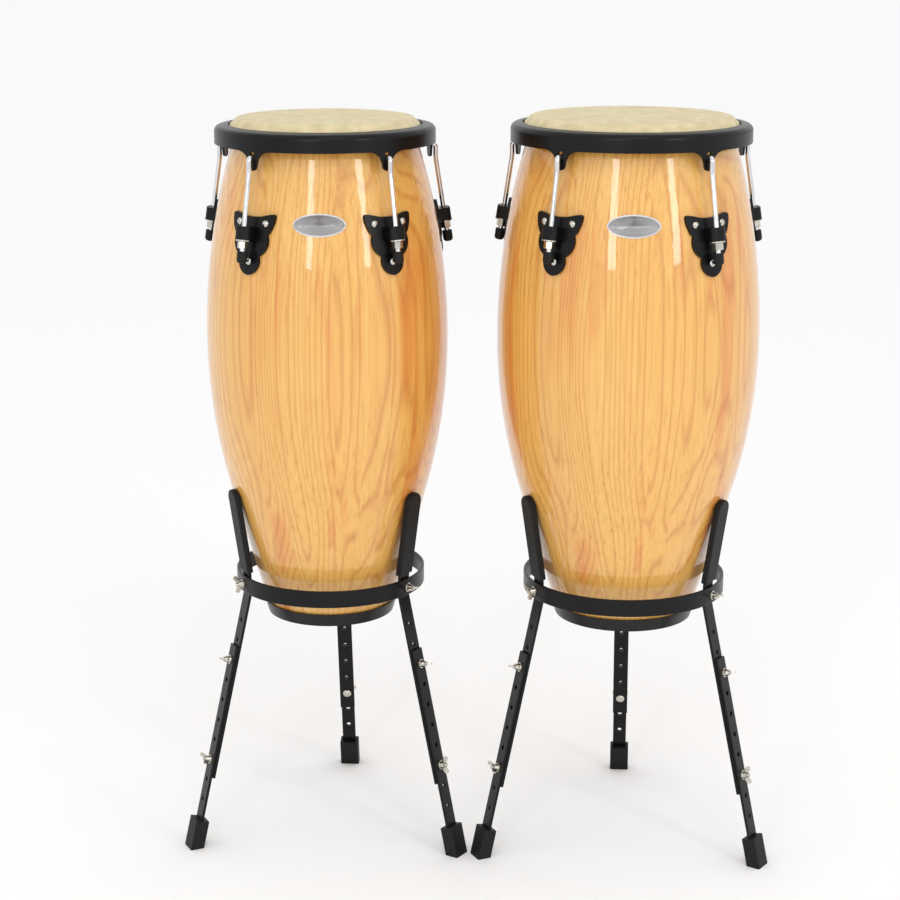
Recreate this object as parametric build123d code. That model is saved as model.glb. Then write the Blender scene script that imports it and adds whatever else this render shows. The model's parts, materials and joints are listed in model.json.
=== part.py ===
from build123d import *
import os
from math import acos, asin, atan2, cos, degrees, radians, sin, sqrt, tan
from types import SimpleNamespace

# A pair of conga drums, a quinto and a wider conga, each in its own basket stand.
# Millimetres. +Z is up and -Y faces the listener. The origin is on the floor, at the
# middle of the pair's footprint. Every piece is drawn in a radial plane first, with
# +X pointing away from its drum's axis, and is then turned to its place round that axis.

# ---- the pair ----
drum_spacing = 422.8        # between the two drums' axes, across the pair
conga_forward = 25.2        # how much nearer the listener the conga stands
lug_count = 5
arm_directions = {"left": -60.0, "right": 60.0, "rear": 180.0}

# ---- what differs between the two drums ----
quinto = SimpleNamespace(
    name="quinto",
    x=-drum_spacing / 2,
    y=conga_forward / 2,
    drum_turn=0.5,          # how far the drum is turned in its basket
    stand_turn=-3.1,        # how far the basket is turned on the floor
    base_height=332.5,      # floor to the underside of the base trim
    base_radius=87.5,       # outside of the shell at its lower end
    knee_radius=141.0,
    belly_radius=170.4,
    top_radius=118.0,       # outside of the shell at the bearing edge
    rim_radius=153.6,
    ring_radius=135.5,      # outside of the stand's ring
)
conga = SimpleNamespace(
    name="conga",
    x=drum_spacing / 2,
    y=-conga_forward / 2,
    drum_turn=-2.0,
    stand_turn=-3.8,
    base_height=337.5,
    base_radius=94.5,
    knee_radius=151.4,
    belly_radius=183.3,
    top_radius=133.3,
    rim_radius=166.1,
    ring_radius=143.3,
)

# ---- shell, the same for both drums ----
drum_height = 712.0         # underside of the base trim to the top of the head
belly_rise = 405.0          # from the underside of the base trim
knee_rise = 187.0
shell_wall = 11.0
bearing_round = 5.0
trim_height = 18.0
trim_thickness = 3.0
trim_lip = 2.5              # the trim turned in under the shell

# ---- head, flesh hoop and rim ----
skin_thickness = 1.6
crown_overhang = 4.5        # from the shell's top radius to the corner of the crown
crown_round = 8.0
collar_fall = 8.8           # the collar falls this far at 45 degrees, then more steeply
hoop_radius = 4.4           # round section of the flesh hoop
hoop_inset = 11.8           # rim outside to the middle of the hoop's section
skin_wrap = 240.0           # degrees of the hoop that the skin goes round
rim_drop = 8.5              # head top to the rim's inner top edge
rim_slope = 3.0             # the rim's top rises this much from outside to inside
rim_height = 23.3           # of the outer band
rim_wall = 3.5
rim_opening = 11.5          # from the crown's corner out to the rim's inner edge
rim_round = 8.0
rim_edge_round = 1.6
ear_drop = 26.0
ear_half_top = 30.0
ear_half_tip = 6.5
ear_slot_width = 7.6
ear_slot_height = 11.0
ear_slot_start = 0.5        # rim's lower edge down to the top of the slot

# ---- tension hooks and their lugs ----
rod_radius = 3.5
rod_stand_off = 7.0         # rim outside to the rod's middle
rod_lean = 9.0              # degrees, of the lower part of the rod
rod_stub = 10.0             # how far the hooked end reaches behind the ear
rod_bend_drop = 62.0        # head top to the bend where the rod starts to lean
hook_bend = 5.5
lean_bend = 40.0
thread_pitch = 1.0
rim_travel = 3.0            # how far the rim rises as the nuts are slackened
rod_play = 0.78             # round the rod, in the lug, washer and nut
boss_width = 22.0
boss_height = 18.0
boss_front = 8.0            # rod's middle to the front of the lug's boss
boss_drop = 142.0           # head top to the middle of the boss
washer_radius = 10.5
washer_thickness = 2.0
washer_round = 0.6
nut_flats = 13.0
nut_height = 9.5
turning_gap = 0.3
cap_gap = 4.0               # bare thread between nut and cap
cap_radius = 7.0
cap_height = 16.0
cap_grip = 10.0             # how far the rod goes into its cap

# ---- lug plates, their bolts and backing plates ----
plate_thickness = 4.5
plate_drop = 199.5          # head top to the plate's lower tip
plate_bolt_side = 22.0
plate_bolt_high = 69.0      # above the plate's lower tip
plate_bolt_low = 17.5
plate_bolt_radius = 2.5
plate_bolt_head = 4.7
plate_bolt_crown = 2.6
bolt_hole_play = 0.25
backing_thickness = 2.5
backing_width = 56.0
backing_height = 70.0
backing_corner = 10.0
bolt_tail = 3.0

# ---- badge ----
badge_width = 71.0
badge_height = 30.6
badge_thickness = 0.8
badge_drop = 130.0          # head top to the badge's middle

# ---- basket stand ----
ring_top = 398.0
ring_height = 24.0
ring_thickness = 4.0
bar_width = 22.0
bar_thickness = 4.0
bar_bend = 10.0
bend_margin = 3.0           # ring edge to the bend in the bar
leg_lean = 13.1             # degrees
leg_length = 275.0          # lower bend to the end of the upper bar
hole_pitch = 30.0
first_hole = 39.6           # lower bend to the first adjusting hole
hole_count = 8              # in the upper bar, and as many in the lower bar
upper_bolt_hole = 2         # the upper bar's hole where the lower bar's first hole stands
lower_bar_width = 20.0
lower_bar_thickness = 4.0
lower_bar_start = 78.0      # lower bend to the top end of the lower bar
slide_gap = 0.3
sleeve_width = 30.0
sleeve_thickness = 9.0
sleeve_length = 123.0
sleeve_start = 4.0          # upper bend to the sleeve's lower end
sleeve_round = 2.0
bar_inside_sleeve = 108.0   # how far up the sleeve the bar reaches
seat_gap = 0.35             # shell to sleeve, where the drum rests
bolt_radius = 3.0
bolt_play = 0.3
bolt_head_radius = 6.5
bolt_head_height = 3.2
bolt_end = 3.0              # thread beyond the wing nut
wing_flange_radius = 6.5
wing_flange_height = 1.6
wing_hub_height = 6.5
wing_reach = 9.0
wing_rise = 8.5
wing_lobe = 6.5
wing_thickness = 2.4
first_wing_turn = 35.0      # how the wing nuts happen to stand
next_wing_turn = 50.0
boot_width = 28.0
boot_depth = 20.0
boot_height = 42.0
boot_grip = 30.0
boot_round = 2.0


def point(radius, height):
    return Vector(radius, 0, height)


def head_top(drum):
    return drum.base_height + drum_height


def shell_bottom(drum):
    return drum.base_height + trim_lip


def shell_top(drum):
    return head_top(drum) - skin_thickness


# ---- the barrel: three arcs that run into one another ----

def barrel_arcs(drum, outset=0.0):
    belly = point(drum.belly_radius + outset, drum.base_height + belly_rise)
    knee = point(drum.knee_radius + outset, drum.base_height + knee_rise)
    top = point(drum.top_radius + outset, shell_top(drum))
    base = point(drum.base_radius + outset, drum.base_height)
    upper = TangentArc(belly, top, tangent=(0, 0, 1))
    middle = TangentArc(belly, knee, tangent=(0, 0, -1))
    lower = TangentArc(knee, base, tangent=middle % 1)
    return lower, middle, upper


def barrel_arc_at(drum, height):
    lower, middle, upper = barrel_arcs(drum)
    if height > drum.base_height + belly_rise:
        return upper
    return middle if height > drum.base_height + knee_rise else lower


def barrel_radius(drum, height):
    arc = barrel_arc_at(drum, height)
    return arc.arc_center.X + sqrt(arc.radius**2 - (height - arc.arc_center.Z) ** 2)


def surface_place(drum, across, height, outset=0.0):
    """A frame on the shell's outside, its Z along the surface's outward normal."""
    arc = barrel_arc_at(drum, height)
    tilt = degrees(asin((height - arc.arc_center.Z) / arc.radius))
    radius = barrel_radius(drum, height)
    turn = Rot(0, 0, degrees(across / radius))
    return turn * Pos(radius, 0, height) * Rot(0, 90 - tilt, 0) * Pos(0, 0, outset)


def barrel_band(drum, low, high, inner, outer):
    """The space between two outsets of the barrel, from one height to another, all round."""
    inside = list(barrel_arcs(drum, inner))
    outside = list(barrel_arcs(drum, outer))
    edges = inside + outside
    edges.append(Line(inside[0] @ 1, outside[0] @ 1))
    edges.append(Line(inside[2] @ 1, outside[2] @ 1))
    band = revolve(Face(Wire(edges)), axis=Axis.Z)
    reach = 2 * drum.belly_radius
    return band & Pos(0, 0, (low + high) / 2) * Cylinder(reach, high - low)


def pushed_out(outline, height, reach):
    """An outline seen from outside, its origin at a height, made a bar along +X."""
    return extrude(Plane.YZ * Pos(0, height) * outline, reach, dir=(1, 0, 0))


def turned(profile):
    return revolve(Face(profile), axis=Axis.Z)


# ---- shell and base trim ----

def plate_bolt_places(drum, outset):
    """Frames of one lug plate's three bolts."""
    tip = head_top(drum) - plate_drop
    spots = [(-plate_bolt_side, plate_bolt_high), (plate_bolt_side, plate_bolt_high), (0, plate_bolt_low)]
    return [surface_place(drum, across, tip + height, outset) for across, height in spots]


def make_shell(drum):
    shell = barrel_band(drum, shell_bottom(drum), shell_top(drum) + 1, -shell_wall, 0)
    top_edges = shell.faces().sort_by(Axis.Z)[-1].edges().sort_by(lambda e: e.radius)
    shell = fillet(top_edges, bearing_round)
    hole = Cylinder(plate_bolt_radius + bolt_hole_play, 4 * shell_wall)
    for place in plate_bolt_places(drum, 0):
        for turn in lug_turns():
            shell -= turn * place * hole
    return shell


def make_base_trim(drum):
    low = drum.base_height
    trim = barrel_band(drum, low, low + trim_height, 0, trim_thickness)
    lip_inside = barrel_radius(drum, low) - shell_wall
    lip_outside = barrel_radius(drum, low) + trim_thickness / 2
    lip = Pos(0, 0, low + trim_lip / 2) * (Cylinder(lip_outside, trim_lip) - Cylinder(lip_inside, trim_lip))
    return trim + lip


# ---- head and flesh hoop ----

def hoop_middle(drum):
    """Middle of the flesh hoop's section, close under the rim's lip."""
    lip = rim_lip(drum)
    lip_underside = rim_top(drum) - rim_slope * (lip - hoop_inset) / lip - rim_wall
    height = lip_underside - seat_gap - skin_thickness - hoop_radius
    return point(drum.rim_radius - hoop_inset, height)


def on_hoop(drum, radius, angle):
    return hoop_middle(drum) + Vector(radius * cos(radians(angle)), 0, radius * sin(radians(angle)))


def skin_meets_hoop(drum, collar):
    """Angle round the hoop where the skin, coming down from its collar, starts to wrap it."""
    gap = collar - hoop_middle(drum)
    return degrees(atan2(gap.Z, gap.X)) + degrees(acos(hoop_radius / gap.length))


def below_corner(corner, facing, next_facing, depth):
    """The same corner on a surface this deep, where each side of it faces the given angle."""
    between = radians((facing + next_facing) / 2)
    slant = depth / cos(radians(facing - next_facing) / 2)
    return corner - Vector(slant * cos(between), 0, slant * sin(between))


def make_flesh_hoop(drum):
    middle = hoop_middle(drum)
    return Pos(0, 0, middle.Z) * Torus(middle.X, hoop_radius)


def make_head_skin(drum):
    """Skin over the bearing edge, down and out to the flesh hoop, under it and up again."""
    top = head_top(drum)
    crown = point(drum.top_radius + crown_overhang, top)
    collar = crown + Vector(collar_fall, 0, -collar_fall)
    start = skin_meets_hoop(drum, collar)
    sides = []
    for depth in (0, skin_thickness):
        corners = [point(0, top - depth), below_corner(crown, 90, 45, depth),
                   below_corner(collar, 45, start - 180, depth)]
        wrap = [on_hoop(drum, hoop_radius + depth, start + skin_wrap * share) for share in (0, 0.5, 1)]
        fall = FilletPolyline(*corners, wrap[0], radius=crown_round - depth)
        sides.append((fall, ThreePointArc(*wrap)))
    (fall, bend), (fall_under, bend_under) = sides
    ends = [Line(fall @ 0, fall_under @ 0), Line(bend @ 1, bend_under @ 1)]
    return turned(Wire([*fall.edges(), bend, ends[1], bend_under, *fall_under.edges(), ends[0]]))


# ---- rim ----

def rim_top(drum):
    return head_top(drum) - rim_drop


def rim_lip(drum):
    """How far the rim's top reaches inwards."""
    return drum.rim_radius - drum.top_radius - crown_overhang - rim_opening


def rim_shoulder(drum):
    """Height of the rim's outer top corner, before it is rounded."""
    return rim_top(drum) - rim_slope


def rim_bottom(drum):
    return rim_shoulder(drum) - rim_height


def ear_outline():
    """One ear of the rim, seen from outside, hanging from the rim's lower edge at height 0."""
    tip = ear_half_tip - ear_drop
    flare = Spline((-ear_half_top, 0), (-ear_half_tip, tip), tangents=((1, 0), (0.12, -1)))
    back = Spline((ear_half_tip, tip), (ear_half_top, 0), tangents=((0.12, 1), (1, 0)))
    round_end = ThreePointArc((-ear_half_tip, tip), (0, -ear_drop), (ear_half_tip, tip))
    top = Line((ear_half_top, 0), (-ear_half_top, 0))
    outline = Face(Wire([flare, round_end, back, top]))
    slot_middle = -ear_slot_start - ear_slot_height / 2
    slot_run = ear_slot_height - ear_slot_width
    return outline - Pos(0, slot_middle) * Rot(0, 0, 90) * SlotCenterToCenter(slot_run, ear_slot_width)


def make_rim(drum):
    outside = drum.rim_radius
    inside = outside - rim_lip(drum)
    wall = outside - rim_wall
    low = rim_bottom(drum)
    shoulder = rim_shoulder(drum)
    top = rim_top(drum)
    slope = rim_slope / rim_lip(drum)
    outer_corner = point(outside, shoulder)
    wall_corner = point(wall, shoulder + slope * rim_wall - rim_wall)
    corners = [point(outside, low), outer_corner, point(inside, top), point(inside, top - rim_wall),
               wall_corner, point(wall, low)]
    section = Face(Wire(Polyline(*corners, close=True).edges()))
    section = fillet(section.vertices().sort_by_distance(outer_corner)[0], rim_round)
    section = fillet(section.vertices().sort_by_distance(wall_corner)[0], rim_round - rim_wall)
    section = fillet(section.vertices().group_by(Axis.X)[0], rim_edge_round)
    rim = revolve(section, axis=Axis.Z)
    blank = pushed_out(ear_outline(), low, 2 * outside)
    reach = 2 * (ear_drop + rim_wall)
    band = Pos(0, 0, low) * (Cylinder(outside, reach) - Cylinder(outside - rim_wall, reach))
    ear = blank & band
    return rim + [turn * ear for turn in lug_turns()]


# ---- tension hooks, nuts, washers and caps ----

def lug_turns():
    return [Rot(0, 0, step * 360 / lug_count) for step in range(lug_count)]


def rod_bend(drum):
    return point(drum.rim_radius + rod_stand_off, head_top(drum) - rod_bend_drop)


def rod_place(drum, below):
    """A frame on the leaning part of the rod, its Z pointing back up along the rod."""
    bend = rod_bend(drum)
    return Pos(bend) * Rot(0, -rod_lean, 0) * Pos(0, 0, -below)


def boss_below():
    """Distance along the rod from its bend to the middle of the boss."""
    return (boss_drop - rod_bend_drop) / cos(radians(rod_lean))


def washer_below():
    return boss_below() + boss_height / 2


def nut_below():
    return washer_below() + washer_thickness + turning_gap


def cap_below():
    return nut_below() + nut_height + cap_gap


def hook_height(drum):
    slot_floor = rim_bottom(drum) - ear_slot_start - ear_slot_height
    return slot_floor + rod_radius + 0.3


def make_hook(drum):
    bend = rod_bend(drum)
    top = hook_height(drum)
    inside = drum.rim_radius - rim_wall - rod_stub
    end = rod_place(drum, cap_below() + cap_grip).position
    path = FilletPolyline(point(inside, top), point(bend.X, top), bend, end, radius=[hook_bend, lean_bend])
    return sweep(Plane(origin=path @ 0, z_dir=path % 0) * Circle(rod_radius), path=path)


def make_washer(drum):
    disc = Cylinder(washer_radius, washer_thickness)
    disc = fillet(disc.edges().filter_by(GeomType.CIRCLE), washer_round)
    ring = disc - Cylinder(rod_radius + rod_play, washer_thickness)
    return rod_place(drum, washer_below() + washer_thickness / 2) * ring


def make_nut(drum):
    nut = extrude(RegularPolygon(nut_flats / 2, 6, major_radius=False), nut_height / 2, both=True)
    corner = nut_flats / sqrt(3)
    nut &= Pos(0, 0, 0) * chamfered_disc(corner, nut_height, 1.0)
    nut -= Cylinder(rod_radius + rod_play, nut_height)
    return rod_place(drum, nut_below() + nut_height / 2) * nut


def chamfered_disc(radius, height, bevel):
    disc = Cylinder(radius, height)
    return chamfer(disc.edges().filter_by(GeomType.CIRCLE), bevel)


def make_cap(drum):
    cap = Cylinder(cap_radius, cap_height)
    rims = cap.edges().filter_by(GeomType.CIRCLE).sort_by(Axis.Z)
    cap = fillet(rims[0], 4.5)
    cap = fillet(cap.edges().filter_by(GeomType.CIRCLE).sort_by(Axis.Z)[-1], 1.2)
    cap -= Pos(0, 0, cap_height / 2 - cap_grip / 2) * Cylinder(rod_radius, cap_grip)
    return rod_place(drum, cap_below() + cap_height / 2) * cap


# ---- lug plates ----

def plate_outline():
    """Half a moth-shaped plate, mirrored: two upper lobes, a belly and a lower lobe, tip at 0."""
    dip = Line((0, 77.5), (10, 78))
    lobe_top = Spline((10, 78), (22, 80.5), (32, 82), tangents=((1, 0.05), (1, 0.05)))
    corner = ThreePointArc((32, 82), (35.3, 80.6), (36, 77))
    flank = Spline((36, 77), (33.5, 65), (27, 54), tangents=((0, -1), (-0.75, -0.6)))
    belly = ThreePointArc((27, 54), (27.6, 38), (15.8, 25))
    foot = ThreePointArc((15.8, 25), (14.2, 8.5), (0, 0))
    half = [dip, lobe_top, corner, flank, belly, foot, Line((0, 0), (0, 77.5))]
    side = Face(Wire(half))
    return side + mirror(side, about=Plane.YZ)


def make_plate(drum):
    tip = head_top(drum) - plate_drop
    blank = pushed_out(plate_outline(), tip, 2 * drum.belly_radius)
    slab = barrel_band(drum, tip - 5, tip + 90, 0, plate_thickness)
    plate = blank & slab
    middle = rod_place(drum, boss_below())
    reach = middle.position.X - barrel_radius(drum, middle.position.Z) - plate_thickness / 2
    depth = reach + boss_front
    boss = Box(depth, boss_width, boss_height)
    front = boss.faces().sort_by(Axis.X)[-1].edges().filter_by(Axis.Z)
    boss = fillet(front, 6.0)
    plate += middle * Pos(boss_front - depth / 2, 0, 0) * boss
    plate -= middle * Cylinder(rod_radius + rod_play, 2 * boss_height)
    hole = Cylinder(plate_bolt_radius + bolt_hole_play, 6 * plate_thickness)
    for place in plate_bolt_places(drum, 0):
        plate -= place * hole
    return plate


def make_plate_bolts(drum):
    """The three bolts of one plate: domed head outside, shank through shell and backing plate."""
    length = plate_thickness + shell_wall + backing_thickness + bolt_tail
    dome_radius = (plate_bolt_head**2 + plate_bolt_crown**2) / (2 * plate_bolt_crown)
    dome = Pos(0, 0, plate_bolt_crown - dome_radius) * Sphere(dome_radius)
    dome &= Pos(0, 0, plate_bolt_crown / 2) * Cylinder(plate_bolt_head + 1, plate_bolt_crown)
    bolt = dome + Pos(0, 0, -length / 2) * Cylinder(plate_bolt_radius, length)
    return [place * bolt for place in plate_bolt_places(drum, plate_thickness)]


def make_backing_plate(drum):
    tip = head_top(drum) - plate_drop
    middle = tip + (plate_bolt_high + plate_bolt_low) / 2
    outline = RectangleRounded(backing_width, backing_height, backing_corner)
    blank = pushed_out(outline, middle, 2 * drum.belly_radius)
    reach = backing_height
    slab = barrel_band(drum, middle - reach, middle + reach, -shell_wall - backing_thickness, -shell_wall)
    plate = blank & slab
    for place in plate_bolt_places(drum, 0):
        plate -= place * Cylinder(plate_bolt_radius, 6 * shell_wall)
    return plate


def make_badge(drum):
    middle = head_top(drum) - badge_drop
    outline = Ellipse(badge_width / 2, badge_height / 2)
    blank = pushed_out(outline, middle, 2 * drum.belly_radius)
    return blank & barrel_band(drum, middle - badge_height, middle + badge_height, 0, badge_thickness)


# ---- basket stand ----

def bar_face(drum):
    """Radius of the bar's outer face, whose edges touch the inside of the ring."""
    return sqrt((drum.ring_radius - ring_thickness) ** 2 - (bar_width / 2) ** 2)


def bar_middle(drum):
    return bar_face(drum) - bar_thickness / 2


def upper_bend(drum):
    return point(bar_middle(drum), ring_top + bend_margin)


def lower_bend(drum):
    return point(bar_middle(drum), ring_top - ring_height - bend_margin)


def arm_lean(drum):
    """Lean, in degrees, that brings the sleeve's upper end against the shell."""
    reach = sleeve_start + sleeve_length - sleeve_round
    start = upper_bend(drum)
    lean = 0.0
    for _ in range(30):
        height = start.Z + reach * cos(lean) + sleeve_thickness / 2 * sin(lean)
        wanted = barrel_radius(drum, height) + seat_gap + sleeve_thickness / 2 * cos(lean)
        lean = asin((wanted - start.X) / reach)
    return degrees(lean)


def arm_place(drum, along):
    return Pos(upper_bend(drum)) * Rot(0, arm_lean(drum), 0) * Pos(0, 0, along)


def leg_place(drum, along):
    """A frame on the upper bar's middle, below the ring: Z back up the leg, X outwards."""
    return Pos(lower_bend(drum)) * Rot(0, -leg_lean, 0) * Pos(0, 0, -along)


def across(shape):
    """Turns an upright piece so that its axis points outwards."""
    return Rot(0, 90, 0) * shape


def hole_along(index):
    return first_hole + index * hole_pitch


def ring_bolt_place(drum):
    return Pos(bar_middle(drum), 0, ring_top - ring_height / 2)


def make_ring(drum):
    inside = drum.ring_radius - ring_thickness
    ring = Pos(0, 0, ring_top - ring_height / 2) * (Cylinder(drum.ring_radius, ring_height) - Cylinder(inside, ring_height))
    ring = fillet(ring.edges().filter_by(GeomType.CIRCLE), 1.0)
    for direction in arm_directions.values():
        ring -= Rot(0, 0, direction) * ring_bolt_place(drum) * across(Cylinder(bolt_radius + bolt_play, 4 * bar_width))
    return ring


def make_arm(drum):
    """Upper bar of one leg: up beside the drum, past the ring, and down and out."""
    top = arm_place(drum, sleeve_start + bar_inside_sleeve).position
    end = leg_place(drum, leg_length).position
    path = FilletPolyline(top, upper_bend(drum), lower_bend(drum), end, radius=bar_bend)
    section = Plane(origin=path @ 0, x_dir=(0, 1, 0), z_dir=path % 0) * Rectangle(bar_width, bar_thickness)
    bar = sweep(section, path=path)
    hole = across(Cylinder(bolt_radius + bolt_play, 3 * bar_thickness))
    bar -= ring_bolt_place(drum) * hole
    for index in range(hole_count):
        bar -= leg_place(drum, hole_along(index)) * hole
    return bar


def make_sleeve(drum):
    """Rubber sleeve pulled over the arm, with a round top, that the drum leans on."""
    side = sleeve_length - sleeve_width / 2
    outline = Pos(0, side / 2) * Rectangle(sleeve_width, side) + Pos(0, side) * Circle(sleeve_width / 2)
    sleeve = Pos(-sleeve_thickness / 2, 0, 0) * extrude(Plane.YZ * outline, sleeve_thickness)
    flat = sleeve.faces().filter_by(Axis.X)
    sleeve = fillet(flat.edges(), sleeve_round)
    pocket = Pos(0, 0, bar_inside_sleeve / 2) * Box(bar_thickness, bar_width, bar_inside_sleeve)
    return arm_place(drum, sleeve_start) * (sleeve - pocket)


def outer_face():
    """Upper bar's middle to the lower bar's outer face."""
    return bar_thickness / 2 + slide_gap + lower_bar_thickness


def lower_bar_middle():
    return bar_thickness / 2 + slide_gap + lower_bar_thickness / 2


def foot_along(drum):
    """Lower bend to the floor, along the leg."""
    return (lower_bend(drum).Z + lower_bar_middle() * sin(radians(leg_lean))) / cos(radians(leg_lean))


def make_lower_bar(drum):
    end = foot_along(drum) - (boot_height - boot_grip)
    length = end - lower_bar_start
    bar = Pos(lower_bar_middle(), 0, length / 2) * Box(lower_bar_thickness, lower_bar_width, length)
    bar = leg_place(drum, end) * bar
    hole = across(Cylinder(bolt_radius + bolt_play, 6 * bar_thickness))
    for index in range(hole_count):
        bar -= leg_place(drum, hole_along(upper_bolt_hole + index)) * hole
    return bar


def make_boot(drum):
    """Rubber boot on the lower bar, cut off level where it stands on the floor."""
    foot = foot_along(drum)
    spare = boot_depth
    body = Box(boot_depth, boot_width, boot_height + spare, align=(Align.CENTER, Align.CENTER, Align.MIN))
    body = fillet(body.edges().filter_by(Axis.Z), boot_round)
    body = fillet(body.faces().sort_by(Axis.Z)[-1].edges(), boot_round / 2)
    pocket = Pos(0, 0, spare + boot_height - boot_grip) * Box(
        lower_bar_thickness, lower_bar_width, boot_grip, align=(Align.CENTER, Align.CENTER, Align.MIN))
    boot = leg_place(drum, foot + spare) * Pos(lower_bar_middle(), 0, 0) * (body - pocket)
    size = 4 * drum.ring_radius
    floor = Pos(0, 0, -size / 2) * Box(2 * size, 2 * size, size)
    return boot - floor


def make_bolt(grip):
    """Carriage bolt along +X, its round head behind X = 0; grip is what it clamps."""
    length = grip + wing_flange_height + wing_hub_height + bolt_end
    dome_radius = (bolt_head_radius**2 + bolt_head_height**2) / (2 * bolt_head_height)
    dome = Pos(0, 0, dome_radius - bolt_head_height) * Sphere(dome_radius)
    dome &= Pos(0, 0, -bolt_head_height / 2) * Cylinder(bolt_head_radius + 1, bolt_head_height)
    return across(dome + Pos(0, 0, length / 2) * Cylinder(bolt_radius, length))


def make_wing_nut(spin):
    """Wing nut along +X from X = 0, turned by spin about its bolt."""
    flange = Pos(0, 0, wing_flange_height / 2) * Cylinder(wing_flange_radius, wing_flange_height)
    hub = Pos(0, 0, wing_flange_height + wing_hub_height / 2) * Cone(5.2, 4.4, wing_hub_height)
    nut = flange + hub
    for side in (-1, 1):
        run = sqrt((wing_reach - 2) ** 2 + (wing_rise - 3) ** 2)
        angle = degrees(atan2(wing_rise - 3, wing_reach - 2))
        lobe = Pos(run / 2, 0) * SlotCenterToCenter(run, wing_lobe)
        wing = extrude(Plane.XZ * Pos(2, 3 + wing_flange_height) * Rot(0, 0, angle) * lobe, wing_thickness / 2, both=True)
        nut += wing if side > 0 else mirror(wing, about=Plane.YZ)
    nut -= Pos(0, 0, 5) * Cylinder(bolt_radius, 30)
    return across(Rot(0, 0, spin) * nut)


def make_ring_clamp(drum, spin):
    """Bolt and wing nut that hold the upper bar to the ring."""
    grip = bar_thickness + drum.ring_radius - bar_face(drum) + slide_gap
    return clamp(ring_bolt_place(drum), grip, spin)


def make_leg_clamp(drum, hole, spin):
    """Bolt and wing nut through both bars of a leg, at one of the upper bar's holes."""
    grip = bar_thickness / 2 + outer_face() + slide_gap
    return clamp(leg_place(drum, hole_along(hole)), grip, spin)


def clamp(place, grip, spin):
    place = place * Pos(-bar_thickness / 2, 0, 0)
    return [place * make_bolt(grip), place * Pos(grip, 0, 0) * make_wing_nut(spin)]


# ---- putting it together ----

nodes = {}


def add(drum, piece, solids):
    """Keeps one node of a drum: its solids, standing where the drum stands."""
    place = Pos(drum.x, drum.y, 0)
    nodes[f"{drum.name}_{piece}"] = [place * solid for shape in solids for solid in shape.solids()]


def on_drum(drum, shape, step=0):
    """Turns a piece drawn along +X to lug number step, counted from the listener's side."""
    return Rot(0, 0, drum.drum_turn - 90 + 180 / lug_count + step * 360 / lug_count) * shape


def on_stand(drum, shape, direction):
    return Rot(0, 0, drum.stand_turn - 90 + direction) * shape


for drum in (quinto, conga):
    steps = range(lug_count)
    add(drum, "shell", [on_drum(drum, make_shell(drum))])
    add(drum, "base_trim", [make_base_trim(drum)])
    add(drum, "head_skin", [make_head_skin(drum)])
    add(drum, "flesh_hoop", [make_flesh_hoop(drum)])
    add(drum, "rim", [on_drum(drum, make_rim(drum))])
    badge_turn = Rot(0, 0, drum.drum_turn - 90)
    add(drum, "badge", [badge_turn * make_badge(drum)])
    repeated = {
        "lug_plates": [make_plate(drum)],
        "plate_bolts": make_plate_bolts(drum),
        "backing_plates": [make_backing_plate(drum)],
        "tension_hooks": [make_hook(drum)],
        "lug_washers": [make_washer(drum)],
        "rod_caps": [make_cap(drum)],
    }
    for piece, solids in repeated.items():
        add(drum, piece, [on_drum(drum, solid, step) for step in steps for solid in solids])
    for step in steps:
        add(drum, f"lug_nut_{step + 1}", [on_drum(drum, make_nut(drum), step)])

    add(drum, "stand_ring", [on_stand(drum, make_ring(drum), 0)])
    bars, sleeves, fixed_clamps = [], [], []
    for leg, (side, direction) in enumerate(arm_directions.items()):
        spin = first_wing_turn + leg * next_wing_turn
        bars.append(on_stand(drum, make_arm(drum), direction))
        sleeves.append(on_stand(drum, make_sleeve(drum), direction))
        clamps = make_ring_clamp(drum, spin) + make_leg_clamp(drum, hole_count - 1, 2 * spin)
        fixed_clamps += [on_stand(drum, solid, direction) for solid in clamps]
        moving_clamp = make_leg_clamp(drum, upper_bolt_hole, 3 * spin)
        add(drum, f"leg_{side}", [on_stand(drum, make_lower_bar(drum), direction)])
        add(drum, f"boot_{side}", [on_stand(drum, make_boot(drum), direction)])
        add(drum, f"leg_bolt_{side}", [on_stand(drum, solid, direction) for solid in moving_clamp])
    add(drum, "arm_bars", bars)
    add(drum, "arm_sleeves", sleeves)
    add(drum, "wing_bolts", fixed_clamps)

box = Compound([solid for solids in nodes.values() for solid in solids]).bounding_box()
middle = Pos(-(box.min.X + box.max.X) / 2, -(box.min.Y + box.max.Y) / 2, 0)

os.makedirs("parts", exist_ok=True)
for name, solids in nodes.items():
    placed = Compound([middle * solid for solid in solids])
    export_step(placed, f"parts/{name}.step")
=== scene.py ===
import json
from math import cos, pi, radians, sin

import bmesh
import bpy
from mathutils import Matrix, Vector
from mathutils.bvhtree import BVHTree


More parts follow.
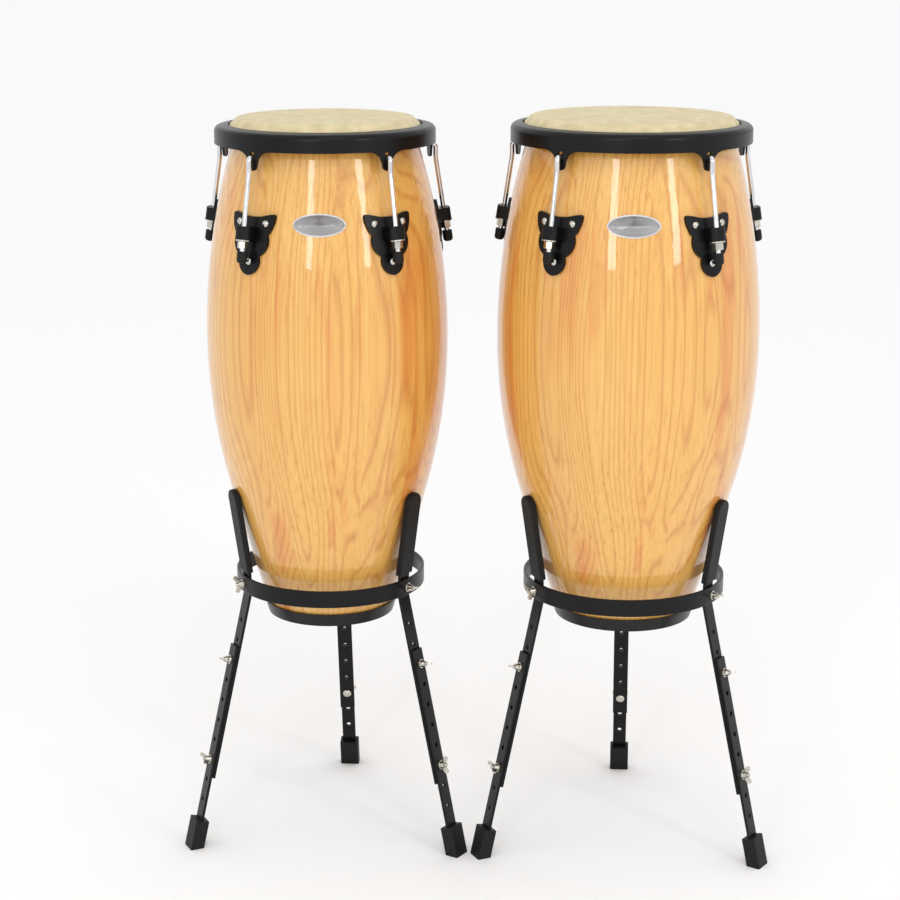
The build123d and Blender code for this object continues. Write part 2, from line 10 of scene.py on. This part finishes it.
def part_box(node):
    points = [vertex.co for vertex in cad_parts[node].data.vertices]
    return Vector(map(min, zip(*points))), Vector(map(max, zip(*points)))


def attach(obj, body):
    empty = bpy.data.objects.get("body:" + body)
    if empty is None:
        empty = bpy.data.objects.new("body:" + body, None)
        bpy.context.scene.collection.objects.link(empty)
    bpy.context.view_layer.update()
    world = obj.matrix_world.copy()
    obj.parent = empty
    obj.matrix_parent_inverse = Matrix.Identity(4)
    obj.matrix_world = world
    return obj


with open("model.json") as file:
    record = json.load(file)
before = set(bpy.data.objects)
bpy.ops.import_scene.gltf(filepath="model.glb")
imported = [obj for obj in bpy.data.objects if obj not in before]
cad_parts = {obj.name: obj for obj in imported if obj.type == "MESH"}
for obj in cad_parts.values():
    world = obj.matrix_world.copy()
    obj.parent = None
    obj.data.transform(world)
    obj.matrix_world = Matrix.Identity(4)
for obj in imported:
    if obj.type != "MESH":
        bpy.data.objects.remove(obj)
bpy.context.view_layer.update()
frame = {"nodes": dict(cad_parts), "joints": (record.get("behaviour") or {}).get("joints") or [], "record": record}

nodes = frame["nodes"]
drums = ("quinto", "conga")
jointNamed = {joint["name"]: joint for joint in frame["joints"]}
slotOf = {part["node"]: part["material_slot"] for part in frame["record"]["subparts"]}


def drumAxis(drum):
    low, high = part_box(f"{drum}_flesh_hoop")
    return Vector(((low[0] + high[0]) / 2, (low[1] + high[1]) / 2, 0))


def linearColour(hexColour):
    channels = [int(hexColour[i:i + 2], 16) / 255 for i in (1, 3, 5)]
    linear = [c / 12.92 if c < 0.04045 else ((c + 0.055) / 1.055) ** 2.4 for c in channels]
    return (*linear, 1)


def startMaterial(name):
    material = bpy.data.materials.new(name)
    material.use_nodes = True
    tree = material.node_tree
    return material, tree, tree.nodes["Principled BSDF"]


# Settings go to a socket where the node has one of that name, and otherwise to the node itself.
# A colour ramp also takes its stops, each a place and a hex colour.
def addNode(tree, kind, settings=None, links=None, stops=()):
    node = tree.nodes.new(kind)
    for key, value in (settings or {}).items():
        if isinstance(key, int) or key in node.inputs:
            node.inputs[key].default_value = value
        else:
            setattr(node, key, value)
    for key, source in (links or {}).items():
        tree.links.new(source, node.inputs[key])
    if stops:
        elements = node.color_ramp.elements
        while len(elements) < len(stops):
            elements.new(0.5)
        for element, (place, colour) in zip(elements, stops):
            element.position = place
            element.color = linearColour(colour)
    return node


def setShader(shader, **values):
    for key, value in values.items():
        shader.inputs[key.replace("_", " ")].default_value = value


# Gives the shader its colour and a bump from the same pattern. The depth is in metres.
def joinPattern(tree, shader, colour, height, depth, strength):
    bump = addNode(tree, "ShaderNodeBump", {"Distance": depth, "Strength": strength}, {"Height": height})
    tree.links.new(colour, shader.inputs["Base Color"])
    tree.links.new(bump.outputs["Normal"], shader.inputs["Normal"])


wood = {
    "staves": 26,               # glued staves round the barrel
    "grain": (260, 2.2),        # per metre, across and along: streaks 4 mm wide and about 450 mm long
    "figure": (11, 0.1),        # broad and nearly straight up the staves
    "figureLines": 52,          # contours of the figure, wider apart than real year rings so that they show
    "flames": (22, 2.4),        # patches about 45 mm wide and 400 mm tall
    "staveSlip": 9.0,           # metres each stave's pattern is moved, at most, so that no two match
    "poreDepth": 0.0001,
    "poreStrength": 0.12,
    "grainStops": ((0.28, "#D29A48"), (0.42, "#E3AE58"), (0.75, "#EDBC68")),
    "flameStops": ((0.54, "#FFFFFF"), (0.68, "#F4C4A8"), (0.8, "#E8AC8C")),
    "lineStops": ((0.0, "#D6A670"), (0.4, "#FFFAF0"), (1.0, "#FFFFFF")),
    "toneStops": ((0.0, "#F4DDBE"), (0.5, "#FFF6E6"), (1.0, "#FFFFFF")),
    "flameShare": 0.6,
    "lineShare": 0.5,
    "toneShare": 0.35,
}
mixColourA, mixColourB, mixedColour = 6, 7, 2  # the colour sockets of a Mix node share names with others


# Honey-coloured hardwood staves under clear polished lacquer: warm streaks, red flames, a wet gloss.
def lacqueredWood(drum):
    material, tree, shader = startMaterial(f"lacqueredAsh_{drum}")
    axis = drumAxis(drum)
    coords = addNode(tree, "ShaderNodeTexCoord").outputs["Object"]
    centred = addNode(tree, "ShaderNodeMapping", {"Location": (-axis.x, -axis.y, 0)}, {"Vector": coords})
    split = addNode(tree, "ShaderNodeSeparateXYZ", links={0: centred.outputs[0]})
    angle = addNode(tree, "ShaderNodeMath", {"operation": "ARCTAN2"},
                    {0: split.outputs["Y"], 1: split.outputs["X"]})
    turns = addNode(tree, "ShaderNodeMath", {"operation": "MULTIPLY", 1: wood["staves"] / (2 * pi)},
                    {0: angle.outputs[0]})
    stave = addNode(tree, "ShaderNodeMath", {"operation": "FLOOR"}, {0: turns.outputs[0]})
    staveTone = addNode(tree, "ShaderNodeTexWhiteNoise", {"noise_dimensions": "1D"}, {"W": stave.outputs[0]})
    slip = addNode(tree, "ShaderNodeVectorMath", {"operation": "MULTIPLY_ADD", 1: (0, 0, wood["staveSlip"])},
                   {0: staveTone.outputs["Color"], 2: centred.outputs[0]})

    def pattern(size, **settings):
        across, along = size
        place = addNode(tree, "ShaderNodeMapping", {"Scale": (across, across, along)},
                        {"Vector": slip.outputs[0]})
        noise = addNode(tree, "ShaderNodeTexNoise", {"Scale": 1.0, **settings}, {"Vector": place.outputs[0]})
        return noise.outputs["Fac"]

    grain = pattern(wood["grain"], Detail=4.0, Roughness=0.6)
    figure = pattern(wood["figure"], Detail=0.6, Roughness=0.3)
    flames = pattern(wood["flames"], Detail=2.0)
    contour = addNode(tree, "ShaderNodeMath", {"operation": "MULTIPLY", 1: wood["figureLines"]}, {0: figure})
    rings = addNode(tree, "ShaderNodeMath", {"operation": "PINGPONG", 1: 1.0}, {0: contour.outputs[0]})

    def toned(source, stops):
        return addNode(tree, "ShaderNodeValToRGB", links={"Fac": source}, stops=stops).outputs["Color"]

    colour = toned(grain, wood["grainStops"])
    layers = (("flameShare", flames, "flameStops"), ("lineShare", rings.outputs[0], "lineStops"),
              ("toneShare", staveTone.outputs["Value"], "toneStops"))
    for share, source, stops in layers:
        mixed = addNode(tree, "ShaderNodeMix", {"data_type": "RGBA", "blend_type": "MULTIPLY",
                                                "Factor": wood[share]},
                        {mixColourA: colour, mixColourB: toned(source, wood[stops])})
        colour = mixed.outputs[mixedColour]
    joinPattern(tree, shader, colour, grain, wood["poreDepth"], wood["poreStrength"])
    setShader(shader, Roughness=0.42, IOR=1.5, Coat_Weight=1.0, Coat_Roughness=0.04, Coat_IOR=1.52)
    return material


cloudWidth = 12  # the cloudy tone of a mottled finish is this many times as wide as its fine mottling


# One builder for finishes that are a tone with fine mottling. The mottling and the bump are in mm.
def mottled(name, colours, grain, bumpDepth, roughness, bumpStrength, **values):
    material, tree, shader = startMaterial(name)
    coords = addNode(tree, "ShaderNodeTexCoord").outputs["Object"]
    broad = addNode(tree, "ShaderNodeTexNoise", {"Scale": 1000 / (grain * cloudWidth), "Detail": 5.0},
                    {"Vector": coords})
    fine = addNode(tree, "ShaderNodeTexNoise", {"Scale": 1000 / grain, "Detail": 3.0}, {"Vector": coords})
    colour = addNode(tree, "ShaderNodeValToRGB", links={"Fac": broad.outputs["Fac"]},
                     stops=((0.35, colours[0]), (0.65, colours[1])))
    low, high = roughness
    spread = addNode(tree, "ShaderNodeMapRange", {"To Min": low, "To Max": high},
                     {"Value": broad.outputs["Fac"]})
    tree.links.new(spread.outputs[0], shader.inputs["Roughness"])
    joinPattern(tree, shader, colour.outputs["Color"], fine.outputs["Fac"], bumpDepth / 1000, bumpStrength)
    setShader(shader, **values)
    return material


brushing = {
    "perMetre": (30, 60, 2000),     # lines about 33 mm long, drawn 0.5 mm apart so that they show
    "depth": 0.00005,
    "strength": 0.4,
}


# Brushed aluminium: fine lines along X in a soft, bright grey.
def brushedMetal(name, colours):
    material, tree, shader = startMaterial(name)
    coords = addNode(tree, "ShaderNodeTexCoord").outputs["Object"]
    drawn = addNode(tree, "ShaderNodeMapping", {"Scale": brushing["perMetre"]}, {"Vector": coords})
    lines = addNode(tree, "ShaderNodeTexNoise", {"Scale": 1.0, "Detail": 3.0}, {"Vector": drawn.outputs[0]})
    colour = addNode(tree, "ShaderNodeValToRGB", links={"Fac": lines.outputs["Fac"]},
                     stops=((0.3, colours[0]), (0.7, colours[1])))
    joinPattern(tree, shader, colour.outputs["Color"], lines.outputs["Fac"], brushing["depth"],
                brushing["strength"])
    setShader(shader, Metallic=1.0, Roughness=0.42, Anisotropic=0.4)
    return material


finishes = {
    # satin black powder coat: a faint orange peel, soft broad highlights
    "black_powder_coat": mottled("satinPowderCoat", ("#040406", "#08080B"), 0.9, 0.05, (0.27, 0.36), 0.35,
                                 Specular_IOR_Level=0.25),
    # moulded trim: black, with a low even sheen
    "black_rubber_trim": mottled("mouldedTrim", ("#070708", "#0C0C0D"), 1.2, 0.03, (0.28, 0.36), 0.3,
                                 Specular_IOR_Level=0.35),
    # scraped rawhide: greenish cream, cloudy, with pores
    "rawhide": mottled("scrapedRawhide", ("#CDBE92", "#DFD0A6"), 1.4, 0.08, (0.48, 0.6), 0.5,
                       Subsurface_Weight=0.12, Subsurface_Scale=0.003),
    # drawn steel, hidden inside the rim and the shell
    "plain_steel": mottled("drawnSteel", ("#8D8D8B", "#A6A6A3"), 0.8, 0.02, (0.3, 0.42), 0.3, Metallic=1.0),
    # nickel plate: slightly warm and soft
    "nickel": mottled("nickelPlate", ("#BDB9AF", "#D2CFC6"), 0.7, 0.01, (0.18, 0.28), 0.25, Metallic=1.0),
    # bright chrome plate
    "chrome": mottled("brightChrome", ("#D6D7DA", "#E4E5E8"), 1.5, 0.004, (0.05, 0.09), 0.15, Metallic=1.0),
    # moulded rubber: matt, fine bloom
    "rubber": mottled("mouldedRubber", ("#080809", "#0E0E0E"), 0.6, 0.06, (0.5, 0.62), 0.5,
                      Specular_IOR_Level=0.3),
    "brushed_badge": brushedMetal("brushedAluminium", ("#C9C9CC", "#E6E6E8")),
}
woods = {drum: lacqueredWood(drum) for drum in drums}

for name, thing in nodes.items():
    slot = slotOf[name]
    finish = woods[name.split("_")[0]] if slot == "lacquered_wood" else finishes[slot]
    if not thing.material_slots:
        thing.data.materials.append(finish)
    for place in thing.material_slots:
        place.material = finish
print("materials on", len(nodes), "nodes")


def finishPiece(name, mesh, body, slot):
    bmesh.ops.recalc_face_normals(mesh, faces=mesh.faces)
    data = bpy.data.meshes.new(name)
    mesh.to_mesh(data)
    mesh.free()
    data.shade_smooth()
    piece = bpy.data.objects.new(name, data)
    bpy.context.collection.objects.link(piece)
    data.materials.append(finishes[slot])
    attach(piece, body)


# A raised border and a plain burst of rays on each badge, laid on the badge's own curve.
badge = {
    "inset": 0.0016,            # from the badge's edge to the middle of the border
    "border": 0.0011,           # half the border's width
    "height": 0.0007,
    "borderPoints": 8,          # over the border's rounded top
    "segments": 96,
    "rays": 16,
    "rayStart": 0.28,           # shares of the way from the middle to the border
    "rayEnd": 0.74,
    "rayWidth": 0.0011,         # half the width at the start of a ray
    "rayTaper": 0.3,
    "raySides": 6,
    "rayHeight": 0.6,           # share of the ray's half width that stands up
    "castFrom": 0.1,            # each point is dropped onto the badge from this far in front
}


def layOn(surface, mesh, middle):
    for vertex in mesh.verts:
        x, lift, z = vertex.co
        start = Vector((middle.x + x, middle.y - badge["castFrom"], middle.z + z))
        hit, normal, _, _ = surface.ray_cast(start, Vector((0, 1, 0)))
        if hit is None:
            hit = start
            normal = Vector((0, -1, 0))
        vertex.co = hit + (-normal if normal.y > 0 else normal) * lift


def makeBadge(drum):
    low, high = (Vector(corner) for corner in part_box(f"{drum}_badge"))
    halfWide = (high.x - low.x) / 2 - badge["inset"]
    halfTall = (high.z - low.z) / 2 - badge["inset"]
    mesh = bmesh.new()
    loops = []
    for point in range(badge["borderPoints"]):
        over = pi * point / (badge["borderPoints"] - 1)
        offset = badge["border"] * cos(over)
        lift = badge["height"] * sin(over)
        loop = []
        for step in range(badge["segments"]):
            turn = 2 * pi * step / badge["segments"]
            place = ((halfWide + offset) * cos(turn), lift, (halfTall + offset) * sin(turn))
            loop.append(mesh.verts.new(place))
        loops.append([mesh.edges.new((loop[i - 1], loop[i])) for i in range(len(loop))])
    for first, second in zip(loops, loops[1:] + loops[:1]):
        bmesh.ops.bridge_loops(mesh, edges=first + second)

    for ray in range(badge["rays"]):
        turn = 2 * pi * ray / badge["rays"]
        made = bmesh.ops.create_cone(mesh, segments=badge["raySides"], radius1=badge["rayWidth"],
                                     radius2=badge["rayWidth"] * badge["rayTaper"], depth=1, cap_ends=True)
        for vertex in made["verts"]:
            side, front, length = vertex.co
            along = badge["rayStart"] + (badge["rayEnd"] - badge["rayStart"]) * (length + 0.5)
            lift = max(0, front) * badge["rayHeight"]
            vertex.co = (halfWide * along * cos(turn) - side * sin(turn), lift,
                         halfTall * along * sin(turn) + side * cos(turn))

    source = nodes[f"{drum}_badge"].data
    surface = BVHTree.FromPolygons([v.co.copy() for v in source.vertices],
                                   [face.vertices[:] for face in source.polygons])
    layOn(surface, mesh, (low + high) / 2)
    finishPiece(f"{drum}_badge_relief", mesh, f"{drum}_drum", "brushed_badge")


# Rolled threads on each hook, from the top of its nut to just above its cap. Drawn as rings, not a helix.
thread = {
    "rodRadius": 0.0035,
    "pitch": 0.001,
    "start": -0.0045,           # from the middle of the nut, along the rod's axis, which points down
    "points": 26,               # one at each crest and each root
    "crest": 0.0002,            # above the rod
    "root": 0.00002,
    "segments": 20,
    "mergeWithin": 0.000005,
}


def makeThreads(drum):
    mesh = bmesh.new()
    for number in range(1, 6):
        joint = jointNamed[f"{drum}_nut_{number}_turn"]
        down = Vector(joint["axis"]).normalized()
        turnTo = Vector((0, 0, 1)).rotation_difference(down).to_matrix().to_4x4()
        profile = []
        for step in range(thread["points"]):
            place = thread["start"] + step * thread["pitch"] / 2
            radius = thread["rodRadius"] + (thread["crest"] if step % 2 else thread["root"])
            profile.append(mesh.verts.new((radius, 0, place)))
        edges = [mesh.edges.new(pair) for pair in zip(profile, profile[1:])]
        bmesh.ops.spin(mesh, geom=profile + edges, axis=(0, 0, 1), cent=(0, 0, 0), angle=2 * pi,
                       steps=thread["segments"], use_merge=True)
        fresh = [v for v in mesh.verts if not v.tag]
        bmesh.ops.transform(mesh, matrix=Matrix.Translation(joint["pos_m"]) @ turnTo, verts=fresh)
        for vertex in fresh:
            vertex.tag = True
    bmesh.ops.remove_doubles(mesh, verts=mesh.verts, dist=thread["mergeWithin"])
    finishPiece(f"{drum}_rod_threads", mesh, f"{drum}_rim_and_hooks", "chrome")


for drum in drums:
    makeBadge(drum)
    makeThreads(drum)
print("badges and threads made")


floor = {"halfWidth": 30, "colour": "#FFFFFF", "roughness": 0.9}


def makeFloor():
    mesh = bmesh.new()
    bmesh.ops.create_grid(mesh, x_segments=1, y_segments=1, size=floor["halfWidth"])
    data = bpy.data.meshes.new("floor")
    mesh.to_mesh(data)
    mesh.free()
    thing = bpy.data.objects.new("floor", data)
    bpy.context.collection.objects.link(thing)
    material, _, shader = startMaterial("paleFloor")
    setShader(shader, Base_Color=linearColour(floor["colour"]), Roughness=floor["roughness"])
    data.materials.append(material)


# Metres and watts. Each light is turned to the point above the origin at the height in aim.
roomLight = 0.95
lights = {
    "tallSoftboxLeft": {"place": (-0.96, -3.4, 1.9), "aim": 0.8, "size": (0.4, 1.5), "power": 13},
    "tallSoftboxRight": {"place": (2.3, -2.65, 1.9), "aim": 0.8, "size": (0.4, 1.5), "power": 13},
    "smallSoftboxLeft": {"place": (0.05, -2.1, 3.1), "aim": 0.95, "size": (0.25, 0.25), "power": 3},
    "smallSoftboxRight": {"place": (0.55, -2.0, 3.1), "aim": 0.95, "size": (0.25, 0.25), "power": 3},
}


def makeLights():
    world = bpy.data.worlds.new("softRoom")
    bpy.context.scene.world = world
    world.use_nodes = True
    background = world.node_tree.nodes["Background"]
    background.inputs["Color"].default_value = (1, 1, 1, 1)
    background.inputs["Strength"].default_value = roomLight
    for name, light in lights.items():
        data = bpy.data.lights.new(name, "AREA")
        data.shape = "RECTANGLE"
        data.size, data.size_y = light["size"]
        data.energy = light["power"]
        thing = bpy.data.objects.new(name, data)
        bpy.context.collection.objects.link(thing)
        thing.location = light["place"]
        aim = Vector((0, 0, light["aim"])) - Vector(light["place"])
        thing.rotation_euler = aim.to_track_quat("-Z", "Y").to_euler()


# Metres, degrees below level and to the left of straight ahead, and millimetres of lens.
camera = {"place": (0.0031, -3.0105, 1.332), "down": 12.96, "left": 0.73, "lens": 86.3, "shiftY": -0.0556}


def makeCamera():
    data = bpy.data.cameras.new("camera")
    data.sensor_width = 36
    data.lens = camera["lens"]
    data.shift_y = camera["shiftY"]
    thing = bpy.data.objects.new("camera", data)
    bpy.context.collection.objects.link(thing)
    thing.location = camera["place"]
    thing.rotation_euler = (radians(90 - camera["down"]), 0, radians(camera["left"]))
    bpy.context.scene.camera = thing


makeFloor()
makeLights()
makeCamera()
bpy.context.scene.view_settings.view_transform = "Standard"
print("room ready")
